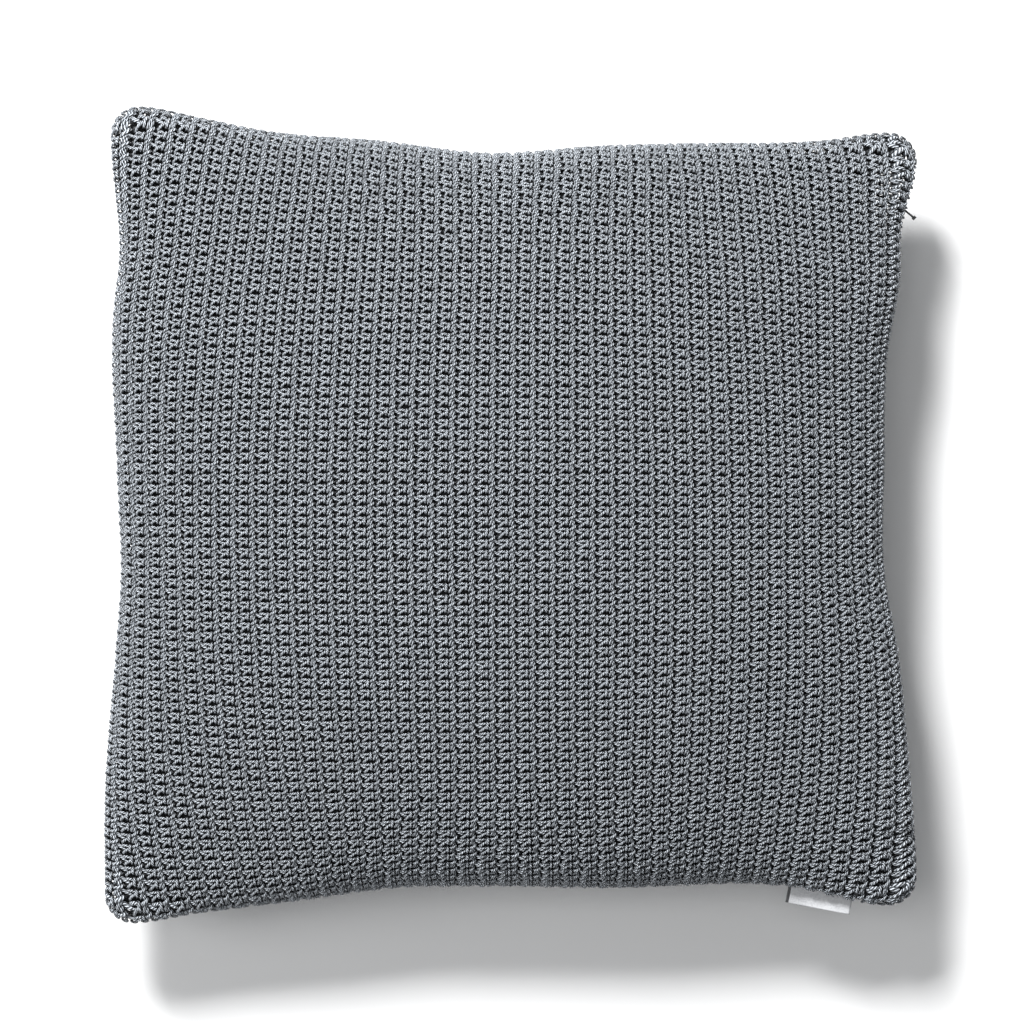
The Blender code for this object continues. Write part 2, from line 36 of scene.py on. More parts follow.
# The pillow, as in the CAD source
SEAM_Z = 62.0
FRONT_CROWN = 66.0
BACK_CROWN = 70.0
CORNER_RADIUS = 18.0
TOP_LEFT = (-247.0, 252.0)
TOP_RIGHT = (250.5, 236.0)
BOTTOM_LEFT = (-250.5, -252.0)
BOTTOM_RIGHT = (250.5, -241.0)
TOP_SIDE = [(-190, 245), (-150, 237), (-81, 231), (-15, 223.5), (59, 228), (116, 229.5), (190, 231)]
BOTTOM_SIDE = [(-193, -246), (-131, -238), (-64, -229.5), (-22, -229), (62, -230), (168, -229)]
LEFT_SIDE = [(-165, -250), (-89, -244), (-36, -240.5), (30, -243), (127, -245), (158, -241.5)]
RIGHT_SIDE = [(-150, 245.5), (-85, 239), (-35, 230.5), (30, 230.5), (103, 233), (143, 240), (178, 241.5)]
CASE_DEPTH = 6.0
CASE_INSET = 7.0  # inside the outline, except beside the zip
CASE_ZIP_INSET = 15.0
CASE_THICKNESS = 0.7
CASE_SEAM_RISE = 0.15  # of the case from the seam plane at its own seam
FILL_DEPTH = 7.6
PAD_STOPS_AT = 229.5
CARE_LABEL_DEPTH = 5.5
CARE_LABEL_THICKNESS = 0.25
CARE_LABEL_OUTSET = 1.0  # outside the case, all round
JOINING_INSET = 2.6
JOINING_REACH = (1.5, 3.3)  # of the joining yarn's loops, outward and up
JOINING_PITCH = 6.3
JOINING_LEAN = 1.3  # of a loop along the seam, to each side
JOINING_STARTS_PAST = {"zip": 3.5, "label": 2.5}  # how far past each slot's end the yarn starts
OUTLINE_STEP = 0.25
SLOT_TOP = 213.5
SLOT_BOTTOM = -190.0
SLOT_FADE = 9.0  # over which the edge closes again past the zip's slot
NEAR_THE_EDGE = (0.8, 0.99)  # across or up the face, where the slots start to show and are full
COIL_X = 220.35
COIL_RADIUS = 1.05
COIL_BOTTOM = -149.7
COIL_PARTS_AT = 204.2
COIL_APART_AT = 206.0
COIL_TOP = 209.3
COIL_Z = 1.2
COIL_APART_Z = 2.0
COIL_PITCH = 1.5
COIL_WIRE_RADIUS = 0.3
LABEL_ROOT = (191.0, -231.0)
LABEL_TILT = math.radians(-10.8)
LABEL_WIDTH = 40.0
LABEL_SHOWS = 11.5
LABEL_INSIDE = 5.0
LABEL_HALF_GAP = 0.48  # from the middle of the folded label to the middle of a leg
LABEL_HALF_THICKNESS = 0.16
LABEL_EDGE = 1.8  # width of the dark stripe at the left end
LABEL_SLOT = (168.5, 214.0)
LABEL_FADE = 8.0

# The crochet
ROW_PAIRS = 43  # across the pillow; each pair is a row worked down and a row worked up
STITCHES = 78  # along each row
PAIR_WIDTH = 12.45
STITCH_LENGTH = 6.7
CORD_RADIUS = 0.83
FACE_DEPTH = 2.2  # the stitches' middle plane lies this far under the pillow's outer face
# How much wider the rows are in the middle than towards the sides, halfway up the face and at the
# top and bottom; and the same for the stitches' length, halfway across and at the sides
ROW_SPREAD = (0.06, -0.14)
STITCH_SPREAD = (0.06, -0.04)
EDGE_RISE = 2.8  # of the middle plane from the seam plane along a closed seam
PAINTED_SHADE_HEIGHTS = (-1.6, 1.3)  # painted shade on the cord, from full at the lower height to none at the upper
SLOT_RISE = 7.0
LABEL_RISE = 3.2
# How far one stitch strays from the next: across in row pairs, up in stitches, and in height
UNEVENNESS = (0.022, 0.05, 0.16)
END_OF_ROW = 0.45  # in stitches, from the face's edge to where a row's cord stops
# The grid that the faces are worked out on: its steps, and its margin in row pairs and stitches
GRID_PER_PAIR = 6
GRID_PER_STITCH = 3
MARGIN = 0.5

# The cord's path through one stitch of each row, as (across, up, towards the viewer). The first
# row is worked down and shows its back: a strand rising to the right, a bar over its end, and a
# strand going down to the next stitch. The second row is worked up and shows a narrow braid.
DOWN_STITCH = [
    (-0.6, 1.6, -2.4), (-0.1, 1.2, -1.0), (0.7, 1.2, 0.8), (1.8, 1.8, 1.4), (3.0, 2.2, 1.2),
    (4.2, 2.0, 0.2), (5.6, 1.0, -1.1), (6.6, -0.3, -1.7), (5.9, -0.8, -1.6), (4.8, -0.2, -0.4),
    (3.8, -0.5, 0.9), (2.6, -1.6, 1.6), (1.3, -2.8, 1.2), (0.5, -3.6, -0.3), (0.1, -4.4, -2.0),
    (1.4, -5.0, -3.0), (3.6, -5.1, -3.0), (5.1, -5.1, -1.4), (5.4, -5.5, 0.7), (5.9, -6.6, 1.5),
    (5.6, -7.6, 0.9), (5.2, -8.1, -1.0), (4.0, -8.0, -2.7), (1.5, -6.6, -2.8), (-0.6, -5.6, -2.6),
]
UP_STITCH = [
    (6.9, -3.2, -2.2), (7.0, -2.8, -0.8), (7.6, -1.9, 0.2), (8.4, -0.2, 0.3), (9.0, 1.2, -0.1),
    (10.0, 2.2, -1.2), (11.4, 1.4, -1.2), (12.4, 0.5, 0.6), (13.3, 0.3, 1.1), (14.5, 0.1, 0.8),
    (15.2, -0.5, -0.3), (14.0, -1.5, -1.4), (12.6, -1.9, -1.6), (11.2, -2.7, -2.0), (10.2, -3.3, -1.9),
    (9.2, -2.9, -0.8), (9.1, -1.6, 0.0), (9.7, 0.0, 0.1), (10.2, 1.2, -0.8), (9.8, 2.2, -2.0),
    (7.7, 1.6, -1.8), (7.1, 1.2, -0.5), (7.3, 1.6, 0.7), (8.7, 2.4, 1.1), (9.9, 3.1, 0.8),
    (10.8, 3.7, -0.6), (9.9, 4.2, -2.1), (7.0, 4.1, -2.4),
]
PERIODS = np.array([[0.0, -STITCH_LENGTH, 0.0], [0.0, STITCH_LENGTH, 0.0]])

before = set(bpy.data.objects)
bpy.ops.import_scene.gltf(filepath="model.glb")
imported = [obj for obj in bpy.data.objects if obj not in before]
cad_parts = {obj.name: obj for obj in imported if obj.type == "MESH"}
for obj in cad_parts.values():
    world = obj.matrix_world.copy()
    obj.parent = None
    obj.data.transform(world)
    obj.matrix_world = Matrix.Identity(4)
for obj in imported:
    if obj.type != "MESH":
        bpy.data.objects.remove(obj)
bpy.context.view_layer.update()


# --- The pillow's shape ---


def smooth_side(points, s):
    """Height at s of a smooth curve through (along, across) points, level at both ends."""
    along, across = np.array(points, dtype=float).T
    slope = np.gradient(across, along)
    slope[0] = 0.0
    slope[-1] = 0.0
    i = np.clip(np.searchsorted(along, s) - 1, 0, len(along) - 2)
    step = along[i + 1] - along[i]
    t = (s - along[i]) / step
    return (
        (2 * t**3 - 3 * t**2 + 1) * across[i]
        + (t**3 - 2 * t**2 + t) * step * slope[i]
        + (3 * t**2 - 2 * t**3) * across[i + 1]
        + (t**3 - t**2) * step * slope[i + 1]
    )


def side_between(points, low_corner, high_corner):
    """One side of the outline, as a function of -1 to 1 from the middle of one corner's arc to the
    middle of the other's. Corners and points are (along, across)."""
    outward = math.copysign(1.0, low_corner[1])
    start = low_corner[0] + CORNER_RADIUS
    end = high_corner[0] - CORNER_RADIUS
    through = [(start, low_corner[1]), *points, (end, high_corner[1])]
    reach = CORNER_RADIUS * math.sin(math.radians(45))

    def position(fraction):
        s = start - reach + (fraction + 1) / 2 * (end - start + 2 * reach)
        past = np.maximum(np.maximum(start - s, s - end), 0.0)
        rounding = CORNER_RADIUS - np.sqrt(np.maximum(CORNER_RADIUS**2 - past**2, 0.0))
        return s, smooth_side(through, np.clip(s, start, end)) - outward * rounding

    return position


def swapped(point):
    return (point[1], point[0])


top_side = side_between(TOP_SIDE, TOP_LEFT, TOP_RIGHT)
bottom_side = side_between(BOTTOM_SIDE, BOTTOM_LEFT, BOTTOM_RIGHT)
left_side = side_between(LEFT_SIDE, swapped(BOTTOM_LEFT), swapped(TOP_LEFT))
right_side = side_between(RIGHT_SIDE, swapped(BOTTOM_RIGHT), swapped(TOP_RIGHT))


def flat_position(u, v):
    """Where the point (u, v) of a face, each from -1 to 1, lies in plan: a Coons patch."""
    x_bottom, y_bottom = bottom_side(u)
    x_top, y_top = top_side(u)
    y_left, x_left = left_side(v)
    y_right, x_right = right_side(v)
    s = (u + 1) / 2
    t = (v + 1) / 2
    corners = [[side(np.array(end)) for side in (bottom_side, top_side)] for end in (-1.0, 1.0)]
    patch = []
    for k, (low, high, left, right) in enumerate(
        [(x_bottom, x_top, x_left, x_right), (y_bottom, y_top, y_left, y_right)]
    ):
        bilinear = (
            (1 - s) * (1 - t) * corners[0][0][k]
            + s * (1 - t) * corners[1][0][k]
            + (1 - s) * t * corners[0][1][k]
            + s * t * corners[1][1][k]
        )
        patch.append((1 - t) * low + t * high + (1 - s) * left + s * right - bilinear)
    return patch


def smooth_step(low, high, values):
    t = np.clip((values - low) / (high - low), 0.0, 1.0)
    return t * t * (3 - 2 * t)


def window(values, low, high, fade):
    """1 between low and high, fading to 0 outside them."""
    return smooth_step(low - fade, low, values) * (1 - smooth_step(high, high + fade, values))


def face_points(alpha, beta, face, depth):
    """Points of the cushion's face at that depth. The sines of the two angles are the place across
    and up the face, so both run past a right angle round the seam."""
    u = np.sin(alpha)
    v = np.sin(beta)
    x, y = flat_position(u, v)
    in_slot = window(y, SLOT_BOTTOM, SLOT_TOP, SLOT_FADE) * smooth_step(*NEAR_THE_EDGE, u)
    at_label = window(x, *LABEL_SLOT, LABEL_FADE) * smooth_step(*NEAR_THE_EDGE, -v)
    rise = EDGE_RISE + (SLOT_RISE - EDGE_RISE) * in_slot + (LABEL_RISE - EDGE_RISE) * at_label
    crown = (FRONT_CROWN if face > 0 else BACK_CROWN) - depth
    fullness = np.cos(alpha) * np.cos(beta)
    z = SEAM_Z + face * (rise + (crown - rise) * fullness)
    if face < 0:
        z = resting(z, depth)
    return np.stack([x - depth * u, y - depth * v, z], axis=-1)


def resting(z, lowest):
    """Heights of the back, flattened softly where it lies on the floor."""
    soft = 3.0
    above = z - lowest
    return lowest + np.where(
        above > soft, above, np.where(above < -soft, 0.0, (above + soft) ** 2 / (4 * soft))
    )


def tangents(alpha, beta, face, depth):
    step = 1e-4
    here = face_points(alpha, beta, face, depth)
    across = face_points(alpha + step, beta, face, depth) - here
    up = face_points(alpha, beta + step, face, depth) - here
    return across / step, up / step


def dot(a, b):
    return (a * b).sum(axis=-1)


def spread_rows(face):
    """The two angles at a coarse grid of row pairs and stitches, spread over the face as cloth
    spreads over a pad: each grid point is pulled to the middle of its neighbours."""
    rows = np.linspace(-1, 1, ROW_PAIRS + 1)
    stitches = np.linspace(-1, 1, STITCHES // 2 + 1)
    alpha, beta = np.meshgrid(rows * math.pi / 2, stitches * math.pi / 2, indexing="ij")

    def pull(places, others, spread):
        middle = (places[1:] + places[:-1]) / 2
        at = spread[0] + (spread[1] - spread[0]) * others**2
        return 1 / (1 + np.outer(1 - 3 * middle**2, at))

    stiffness = 900.0  # keeps the grid steady at the corners, where both angles lose their grip
    most = 0.01
    across = pull(rows, stitches, ROW_SPREAD)[..., None]
    along = pull(stitches, rows, STITCH_SPREAD).T[..., None]
    for _ in range(1400):
        points = face_points(alpha, beta, face, FACE_DEPTH)
        to_next = across * (points[1:] - points[:-1])
        to_above = along * (points[:, 1:] - points[:, :-1])
        force = np.zeros_like(points)
        force[1:-1, 1:-1] = (
            to_next[1:, 1:-1] - to_next[:-1, 1:-1] + to_above[1:-1, 1:] - to_above[1:-1, :-1]
        )
        force[0, 1:-1] = 2 * (to_above[0, 1:] - to_above[0, :-1])
        force[-1, 1:-1] = 2 * (to_above[-1, 1:] - to_above[-1, :-1])
        force[1:-1, 0] = 2 * (to_next[1:, 0] - to_next[:-1, 0])
        force[1:-1, -1] = 2 * (to_next[1:, -1] - to_next[:-1, -1])
        force /= 4.0
        t1, t2 = tangents(alpha, beta, face, FACE_DEPTH)
        a, b, c = dot(t1, t1) + stiffness, dot(t1, t2), dot(t2, t2) + stiffness
        p, q = dot(t1, force), dot(t2, force)
        scale = 1 / (a * c - b * b)
        d_alpha = (c * p - b * q) * scale
        d_beta = (a * q - b * p) * scale
        d_alpha[[0, -1]] = 0.0
        d_beta[:, [0, -1]] = 0.0
        alpha = alpha + np.clip(d_alpha, -most, most)
        beta = beta + np.clip(d_beta, -most, most)
    return alpha, beta


def interpolate(grid, a, b):
    """Values of a grid at places given in its own steps, in a straight line past its ends."""
    i = np.clip(np.floor(a).astype(int), 0, grid.shape[0] - 2)
    j = np.clip(np.floor(b).astype(int), 0, grid.shape[1] - 2)
    s = a - i
    t = b - j
    if grid.ndim == 3:
        s = s[..., None]
        t = t[..., None]
    return (
        (1 - s) * (1 - t) * grid[i, j]
        + s * (1 - t) * grid[i + 1, j]
        + (1 - s) * t * grid[i, j + 1]
        + s * t * grid[i + 1, j + 1]
    )


def surface_of(points):
    """A function that places (pair, stitch, height) on a grid of points with its margins."""
    across = np.gradient(points, axis=0)
    up = np.gradient(points, axis=1)
    normal = np.cross(across, up)
    normal /= np.linalg.norm(normal, axis=-1, keepdims=True)

    def place(pair, stitch, height):
        a = (pair + MARGIN) * GRID_PER_PAIR
        b = (stitch + MARGIN) * GRID_PER_STITCH
        return interpolate(points, a, b) + height[..., None] * interpolate(normal, a, b)

    return place


def grid_places(pairs, stitches):
    pair = np.arange(-MARGIN * GRID_PER_PAIR, (pairs + MARGIN) * GRID_PER_PAIR + 0.5) / GRID_PER_PAIR
    stitch = np.arange(-MARGIN * GRID_PER_STITCH, (stitches + MARGIN) * GRID_PER_STITCH + 0.5)
    return np.meshgrid(pair, stitch / GRID_PER_STITCH, indexing="ij")


def cushion_face(face):
    """The surface that the stitches of the front or the back lie on. Looking at the back from
    behind, its first row is at the right as seen from the front."""
    alpha, beta = spread_rows(face)
    pair, stitch = grid_places(ROW_PAIRS, STITCHES)
    if face < 0:
        pair = ROW_PAIRS - pair
    a = interpolate(alpha, pair, stitch / 2)
    b = interpolate(beta, pair, stitch / 2)
    return surface_of(face_points(a, b, face, FACE_DEPTH))


# --- The cord ---


def smooth_path(points, period, count):
    """Evenly spaced points of the smooth closed path of one stitch, and its length."""
    points = np.array(points, dtype=float)
    around = np.concatenate([points[-1:] - period, points, points[:2] + period])
    t = np.linspace(0, 1, 10, endpoint=False)[:, None]
    pieces = []
    for i in range(1, len(points) + 1):
        p0, p1, p2, p3 = around[i - 1 : i + 3]
        pieces.append(
            p1
            + t * (p2 - p0) / 2
            + t**2 * (2 * p0 - 5 * p1 + 4 * p2 - p3) / 2
            + t**3 * (3 * p1 - 3 * p2 + p3 - p0) / 2
        )
    fine = np.concatenate(pieces)
    fine = np.concatenate([fine, fine[:1] + period])
    lengths = np.linalg.norm(np.diff(fine, axis=0), axis=1)
    s = np.concatenate([[0.0], np.cumsum(lengths)])
    wanted = np.linspace(0, s[-1], count, endpoint=False)
    return np.stack([np.interp(wanted, s, fine[:, k]) for k in range(3)], axis=1), s[-1]


def settle_stitches(count=64, steps=160, anchor=1.2, bending=0.6, tension=2.0, contact=5.0):
    """The two rows' stitches, pushed apart where the cord would pass through itself. A little
    overlap is left, because the cord is also held near its drawn path."""
    rest = np.array([smooth_path(p, d, count)[0] for p, d in zip((DOWN_STITCH, UP_STITCH), PERIODS)])
    spacing = np.linalg.norm(np.diff(rest, axis=1), axis=2).mean()
    paths = rest.copy()
    speed = np.zeros_like(paths)
    shifts = np.array(
        [[i * PAIR_WIDTH, j * STITCH_LENGTH, 0.0] for i in (-1, 0, 1) for j in range(-3, 4)]
    )
    row = np.repeat([0, 1], count)
    place = np.tile(np.arange(count), 2)
    laps = np.round(shifts[:, 1] / STITCH_LENGTH)[None, :, None] * np.where(row == 0, -1, 1)
    apart = np.abs(place[:, None, None] - (place[None, None] + count * laps)) * spacing
    same_cord = (row[:, None, None] == row[None, None]) & (shifts[:, 0] == 0)[None, :, None]
    may_touch = ~(same_cord & (apart < 2.7 * CORD_RADIUS))
    for _ in range(steps):
        after = np.concatenate([paths[:, 1:], paths[:, :1] + PERIODS[:, None]], axis=1)
        before = np.concatenate([paths[:, -1:] - PERIODS[:, None], paths[:, :-1]], axis=1)
        bend = after + before - 2 * paths
        force = anchor * (rest - paths) + tension * bend
        force += bending * (2 * bend - np.roll(bend, 1, axis=1) - np.roll(bend, -1, axis=1))
        points = paths.reshape(-1, 3)
        away = points[:, None, None] - (points[None, None] + shifts[None, :, None])
        distance = np.linalg.norm(away, axis=-1) + 1e-9
        overlap = np.where(may_touch, np.clip(2 * CORD_RADIUS - distance, 0.0, None), 0.0)
        push = ((overlap / distance)[..., None] * away).sum(axis=(1, 2))
        force += contact * push.reshape(2, count, 3)
        speed = 0.8 * speed + 0.05 * force
        fastest = np.linalg.norm(speed, axis=2, keepdims=True)
        speed *= np.minimum(1.0, 0.08 / np.maximum(fastest, 1e-9))
        paths = paths + speed
    return paths


def turned(vectors, axis, angle):
    """Vectors turned about unit axes at right angles to them."""
    return vectors * math.cos(angle) + np.cross(axis, vectors) * math.sin(angle)


def stitch_tube(path, period, rings, sides, radius):
    """Rings of vertices round one stitch's path, the last running on into the next stitch's first,
    and the length of cord in the stitch."""
    centres, length = smooth_path(path, period, rings)
    after = np.concatenate([centres[1:], centres[:1] + period])
    before = np.concatenate([centres[-1:] - period, centres[:-1]])
    along = after - before
    along /= np.linalg.norm(along, axis=1, keepdims=True)
    side = np.cross(along[0], (0.3, 0.2, 0.9))
    sides_of = []
    for k in range(rings + 1):
        t = along[k % rings]
        side = side - side.dot(t) * t
        side /= np.linalg.norm(side)
        sides_of.append(side)
    first, last = sides_of[0], sides_of[-1]
    twist = math.atan2(np.cross(last, first).dot(along[0]), last.dot(first))
    angles = np.arange(sides) / sides * 2 * math.pi
    tube = []
    for k in range(rings):
        start = turned(sides_of[k], along[k], twist * k / rings)
        other = np.cross(along[k], start)
        ring = np.cos(angles)[:, None] * start + np.sin(angles)[:, None] * other
        tube.append(centres[k] + radius * ring)
    return np.array(tube), length


def new_mesh(name, vertices, quads, polygons=()):
    """A smooth mesh object of quads, and of any other polygons, given by vertex numbers."""
    mesh = bpy.data.meshes.new(name)
    loops = np.concatenate([np.asarray(quads).ravel(), *[np.asarray(p) for p in polygons]])
    sizes = np.array([4] * len(quads) + [len(p) for p in polygons])
    mesh.vertices.add(len(vertices))
    mesh.vertices.foreach_set("co", (np.asarray(vertices) * MM).astype(np.float32).ravel())
    mesh.loops.add(len(loops))
    mesh.loops.foreach_set("vertex_index", loops.astype(np.int32))
    mesh.polygons.add(len(sizes))
    starts = np.concatenate([[0], np.cumsum(sizes)[:-1]])
    mesh.polygons.foreach_set("loop_start", starts.astype(np.int32))
    mesh.update()
    mesh.validate()
    mesh.shade_smooth()
    item = bpy.data.objects.new(name, mesh)
    bpy.context.scene.collection.objects.link(item)
    return item


def add_uv(item, name, corners):
    """A UV layer from corner values of the quads; other polygons keep zero."""
    layer = item.data.uv_layers.new(name=name)
    values = np.zeros((len(item.data.loops), 2), dtype=np.float32)
    values[: len(corners)] = corners
    layer.data.foreach_set("uv", values.ravel())


def add_painted_light_level(item, values):
    """Painted shade for each vertex, as how little the cord's colour is darkened: from 0, darkest, deep
    between the stitches to 1, not darkened, on their tops.
    """
    layer = item.data.attributes.new("painted_light_level", "FLOAT", "POINT")
    layer.data.foreach_set("value", np.asarray(values, dtype=np.float32))


def tube_faces(count, sides, start=0):
    """Quads between rings of vertices laid out one ring after another."""
    numbers = np.arange(count * sides).reshape(count, sides) + start
    a = numbers[:-1]
    b = numbers[1:]
    quads = np.stack([a, np.roll(a, -1, axis=1), np.roll(b, -1, axis=1), b], axis=-1)
    return quads.reshape(-1, 4), [numbers[0][::-1], numbers[-1]]


def tube_uv(distance, sides):
    """UV corners for tube_faces: turns round the tube, and distance along it."""
    around = np.arange(sides + 1) / sides
    u, v = np.meshgrid(around, distance)
    grid = np.stack([u, v], axis=-1)
    corners = [grid[:-1, :-1], grid[:-1, 1:], grid[1:, 1:], grid[1:, :-1]]
    return np.stack(corners, axis=2).reshape(-1, 2)


def finish_piece(item, material, nodes, body="cushion"):
    item.data.materials.append(material)
    if nodes:
        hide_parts(*nodes)
    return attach(item, body)


class Unevenness:
    """A smooth random field over pairs and stitches, from one seeded number for each stitch."""

    def __init__(self, pairs, stitches, seed):
        source = np.random.default_rng(seed)
        self.values = source.normal(0.0, 1.0, (2 * pairs + 4, stitches + 4, 3))

    def at(self, pair, stitch):
        return interpolate(self.values, 2 * pair + 1.5, stitch + 1.5)


def crochet(name, place, first, pairs, stitches, tubes, lengths, uneven, material, nodes):
    """One piece of the cover: pairs of rows worked in one continuous cord, down and then up."""
    rings, sides = tubes[0].shape[:2]
    rows = []
    for pair in range(first, first + pairs):
        for tube, down in zip(tubes, (True, False)):
            steps = np.arange(stitches)
            steps = steps[::-1] if down else steps
            shift = np.zeros((stitches, 1, 1, 3))
            shift[:, 0, 0, 1] = (steps + 0.5) * STITCH_LENGTH
            shift[..., 0] = pair * PAIR_WIDTH
            rows.append((tube[None] + shift).reshape(stitches * rings, sides, 3))
    rings_all = np.concatenate(rows)
    centres = rings_all.mean(axis=1, keepdims=True)
    at_pair = rings_all[..., 0] / PAIR_WIDTH
    at_stitch = rings_all[..., 1] / STITCH_LENGTH
    near = uneven.at(centres[..., 0] / PAIR_WIDTH, centres[..., 1] / STITCH_LENGTH)
    at_pair = at_pair + UNEVENNESS[0] * near[..., 0]
    at_stitch = at_stitch + UNEVENNESS[1] * near[..., 1]
    height = rings_all[..., 2] + UNEVENNESS[2] * near[..., 2]
    at_stitch = held_between(at_stitch, END_OF_ROW, stitches - END_OF_ROW)
    vertices = place(at_pair, at_stitch, height)
    quads, caps = tube_faces(len(rings_all), sides)
    item = new_mesh(name, vertices.reshape(-1, 3), quads, caps)
    per_stitch = np.concatenate([np.full(rings * stitches, length / rings) for length in lengths])
    distance = np.concatenate([[0.0], np.cumsum(np.tile(per_stitch, pairs))[:-1]])
    add_uv(item, "cord", tube_uv(distance, sides))
    add_uv(item, "OFBake", bake_layout(len(rings_all), rings, sides))
    # Painted shade: the cord's colour is darkened the deeper it lies in the stitch
    painted_light_levels = smooth_step(*PAINTED_SHADE_HEIGHTS, rings_all[..., 2].ravel())
    add_painted_light_level(item, painted_light_levels)
    return finish_piece(item, material, nodes)


def held_between(values, low, high):
    """Values that slow down near two ends and don't pass them."""
    room = 0.9
    over = np.maximum(values - (high - room), 0.0)
    under = np.maximum(low + room - values, 0.0)
    values = np.where(over > 0, high - room + room * np.tanh(over / room), values)
    return np.where(under > 0, low + room - room * np.tanh(under / room), values)


def bake_layout(count, rings, sides):
    """UV corners that lay each stitch's tube flat in a cell of its own."""
    stitches = math.ceil(count / rings)
    columns = max(1, round(math.sqrt(stitches / 9)))
    lines = math.ceil(stitches / columns)
    index = np.arange(count - 1)
    cell = index // rings
    along = index % rings
    x0 = (cell % columns + 0.02 + 0.96 * along / rings) / columns
    x1 = (cell % columns + 0.02 + 0.96 * (along + 1) / rings) / columns
    y = (cell // columns)[:, None] + 0.06 + 0.88 * np.arange(sides + 1)[None] / sides
    y = y / lines
    x0 = np.repeat(x0[:, None], sides, axis=1)
    x1 = np.repeat(x1[:, None], sides, axis=1)
    low, high = y[:, :-1], y[:, 1:]
    corners = [(x0, low), (x0, high), (x1, high), (x1, low)]
    return np.stack([np.stack(c, axis=-1) for c in corners], axis=2).reshape(-1, 2)


# --- Materials ---


class Nodes:
    """Short calls for making shader nodes."""

    def __init__(self, name):
        self.material = bpy.data.materials.new(name)
        self.material.use_nodes = True
        self.tree = self.material.node_tree
        self.shader = self.tree.nodes["Principled BSDF"]

    def add(self, kind, inputs=(), **settings):
        node = self.tree.nodes.new(kind)
        for key, value in settings.items():
            setattr(node, key, value)
        for key, value in dict(inputs).items():
            self.set(node.inputs[key], value)
        return node

    def set(self, socket, value):
        if isinstance(value, bpy.types.NodeSocket):
            self.tree.links.new(value, socket)
        else:
            socket.default_value = value

    def math(self, operation, *values):
        node = self.add("ShaderNodeMath", operation=operation)
        for socket, value in zip(node.inputs, values):
            self.set(socket, value)
        return node.outputs[0]

    def noise(self, vector, scale, detail=2.0):
        node = self.add(
            "ShaderNodeTexNoise", {"Vector": vector, "Scale": scale, "Detail": detail}
        )
        return node.outputs[0]

    def position(self):
        return self.add("ShaderNodeTexCoord").outputs["Object"]

    def ramp(self, factor, stops):
        node = self.add("ShaderNodeValToRGB", {"Fac": factor})
        elements = node.color_ramp.elements
        while len(elements) < len(stops):
            elements.new(0.5)
        for element, (where, colour) in zip(elements, stops):
            element.position = where
            element.color = (*colour, 1.0)
        return node.outputs[0]

    def bump(self, height, distance, strength=1.0, normal=None):
        inputs = {"Height": height, "Distance": distance, "Strength": strength}
        if normal is not None:
            inputs["Normal"] = normal
        return self.add("ShaderNodeBump", inputs).outputs[0]

    def finish(self, colour, normal, roughness, **sockets):
        self.set(self.shader.inputs["Base Color"], colour)
        self.set(self.shader.inputs["Normal"], normal)
        self.shader.inputs["Roughness"].default_value = roughness
        for name, value in sockets.items():
            self.shader.inputs[name.replace("_", " ").title()].default_value = value
        return self.material


def cord_material(name, dark, middle, light, plies=3, lay=4.6):
    """Twisted cord: plies wound round it, fine filaments along each, and stitches that vary. Its colour
    has painted shade in the grooves between the plies and deep between the stitches, and painted
    highlights on the plies' crowns.
    """
    n = Nodes(name)
    uv = n.add("ShaderNodeUVMap", uv_map="cord").outputs[0]
    split = n.add("ShaderNodeSeparateXYZ", {"Vector": uv})
    turns = n.math("ADD", split.outputs[0], n.math("DIVIDE", split.outputs[1], lay))
    wave = n.math("SINE", n.math("MULTIPLY", turns, plies * 2 * math.pi))
    ply = n.math("MULTIPLY_ADD", wave, 0.5, 0.5)
    fine = n.add(
        "ShaderNodeCombineXYZ",
        {"X": n.math("MULTIPLY", turns, 34.0), "Y": n.math("MULTIPLY", split.outputs[1], 0.9)},
    ).outputs[0]
    filament = n.noise(fine, 1.0)
    patch = n.noise(n.position(), 260.0, 1.0)
    height = n.math("ADD", ply, n.math("MULTIPLY", filament, 0.35))
    # Painted shade and highlight: the colour is darker in the grooves between the plies and lighter on
    # their crowns
    tone = n.math("ADD", n.math("MULTIPLY", ply, 0.78), n.math("MULTIPLY", filament, 0.40))
    tone = n.math("ADD", tone, n.math("MULTIPLY", n.math("SUBTRACT", patch, 0.5), 0.5))
    painted_light_level = n.add("ShaderNodeAttribute", attribute_name="painted_light_level").outputs["Fac"]
    # Painted shade: the tone is darkened where the cord lies deep between the stitches
    tone = n.math("MULTIPLY", tone, n.math("MULTIPLY_ADD", painted_light_level, 0.95, 0.08))
    colour = n.ramp(tone, [(0.12, dark), (0.42, middle), (0.67, light)])
    normal = n.bump(height, 0.0014)
    return n.finish(colour, normal, 0.35, sheen_weight=0.05, sheen_roughness=0.4)


def cloth_material(name, dark, light, threads_per_mm=2.2, roughness=0.85):
    """Plain woven cloth: two crossing sets of threads, from the object's own position."""
    n = Nodes(name)
    split = n.add("ShaderNodeSeparateXYZ", {"Vector": n.position()})
    turn = threads_per_mm / MM * math.pi
    warp = n.math("ABSOLUTE", n.math("SINE", n.math("MULTIPLY", split.outputs[0], turn)))
    weft = n.math("ABSOLUTE", n.math("SINE", n.math("MULTIPLY", split.outputs[1], turn)))
    weave = n.math("MULTIPLY", warp, weft)
    slub = n.noise(n.position(), 300.0, 3.0)
    tone = n.math("ADD", n.math("MULTIPLY", weave, 0.7), n.math("MULTIPLY", slub, 0.3))
    colour = n.ramp(tone, [(0.1, dark), (0.9, light)])
    return n.finish(colour, n.bump(tone, 0.00012), roughness)


def fibre_material(name, dark, light):
    """Loose fibre in soft lumps."""
    n = Nodes(name)
    lumps = n.noise(n.position(), 40.0, 4.0)
    return n.finish(n.ramp(lumps, [(0.3, dark), (0.7, light)]), n.bump(lumps, 0.002), 0.95)


